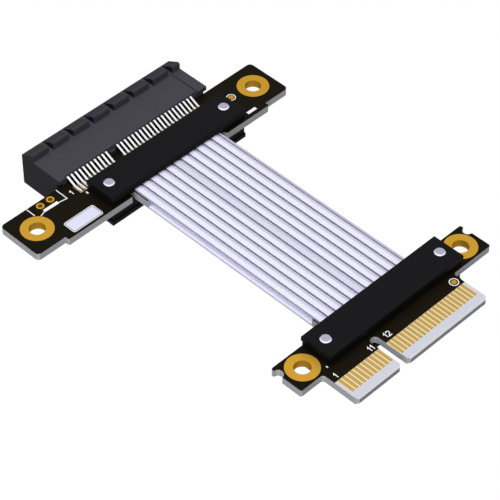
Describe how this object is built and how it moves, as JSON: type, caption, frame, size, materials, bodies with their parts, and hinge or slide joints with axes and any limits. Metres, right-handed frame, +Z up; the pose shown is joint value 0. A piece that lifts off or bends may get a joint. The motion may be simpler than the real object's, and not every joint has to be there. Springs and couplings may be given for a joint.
{
  "type": "card-edge extension cable",
  "caption": "Short flat extension cable between a small card-edge plug board and a slot board, with pale strips held by black covers.",
  "frame": {"origin": "bottom centre of the whole object's bounding box, on the plane that the slot housing's underside lies in", "axes": "+X along the rows of contacts from contact 1, +Y from the plug along the cable to the slot's open mouth, +Z up from the faces with the upper row of contacts"},
  "size_m": [0.0672, 0.0882, 0.0089],
  "materials": {
    "solder_mask": "satin black-brown lacquer on both faces of the boards",
    "contact_gold": "thin gold plating",
    "tinned_metal": "bright tin plating",
    "slot_plastic": "moulded dark grey plastic, fine grain",
    "cover_plastic": "moulded black plastic, fine grain",
    "rivet_metal": "plain, satin",
    "cable_jacket": "smooth pale jacket",
    "core_copper": "bare copper"
  },
  "bodies": {
    "root": {"cable_edge_lower": "cable_jacket", "cable_edge_upper": "cable_jacket", "cable_strip_lower_01": "cable_jacket", "cable_strip_lower_02": "cable_jacket", "cable_strip_lower_03": "cable_jacket", "cable_strip_lower_04": "cable_jacket", "cable_strip_lower_05": "cable_jacket", "cable_strip_lower_06": "cable_jacket", "cable_strip_lower_07": "cable_jacket", "cable_strip_lower_08": "cable_jacket", "cable_strip_lower_09": "cable_jacket", "cable_strip_lower_10": "cable_jacket", "cable_strip_lower_11": "cable_jacket", "cable_strip_upper_01": "cable_jacket", "cable_strip_upper_02": "cable_jacket", "cable_strip_upper_03": "cable_jacket", "cable_strip_upper_04": "cable_jacket", "cable_strip_upper_05": "cable_jacket", "cable_strip_upper_06": "cable_jacket", "cable_strip_upper_07": "cable_jacket", "cable_strip_upper_08": "cable_jacket", "cable_strip_upper_09": "cable_jacket", "cable_strip_upper_10": "cable_jacket", "cable_strip_upper_11": "cable_jacket", "plug_board": "solder_mask", "plug_core_ends_lower": "core_copper", "plug_core_ends_upper": "core_copper", "plug_core_pads_lower": "contact_gold", "plug_core_pads_upper": "contact_gold", "plug_cover_lower": "cover_plastic", "plug_cover_upper": "cover_plastic", "plug_fingers_lower": "contact_gold", "plug_fingers_upper": "contact_gold", "plug_ring_left": "contact_gold", "plug_ring_right": "contact_gold", "plug_rivet_left": "rivet_metal", "plug_rivet_right": "rivet_metal", "plug_test_pad": "contact_gold", "slot_board": "solder_mask", "slot_contacts_lower": "tinned_metal", "slot_contacts_upper": "tinned_metal", "slot_core_ends_lower": "core_copper", "slot_core_ends_upper": "core_copper", "slot_core_pads_lower": "contact_gold", "slot_core_pads_upper": "contact_gold", "slot_cover_lower": "cover_plastic", "slot_cover_upper": "cover_plastic", "slot_housing": "slot_plastic", "slot_ring_left": "contact_gold", "slot_ring_right": "contact_gold", "slot_rivet_left": "rivet_metal", "slot_rivet_right": "rivet_metal", "slot_solder_pads_lower": "contact_gold", "slot_solder_pads_upper": "contact_gold", "slot_test_pad": "contact_gold", "slot_wire_rings": "contact_gold"}
  },
  "joints": []
}
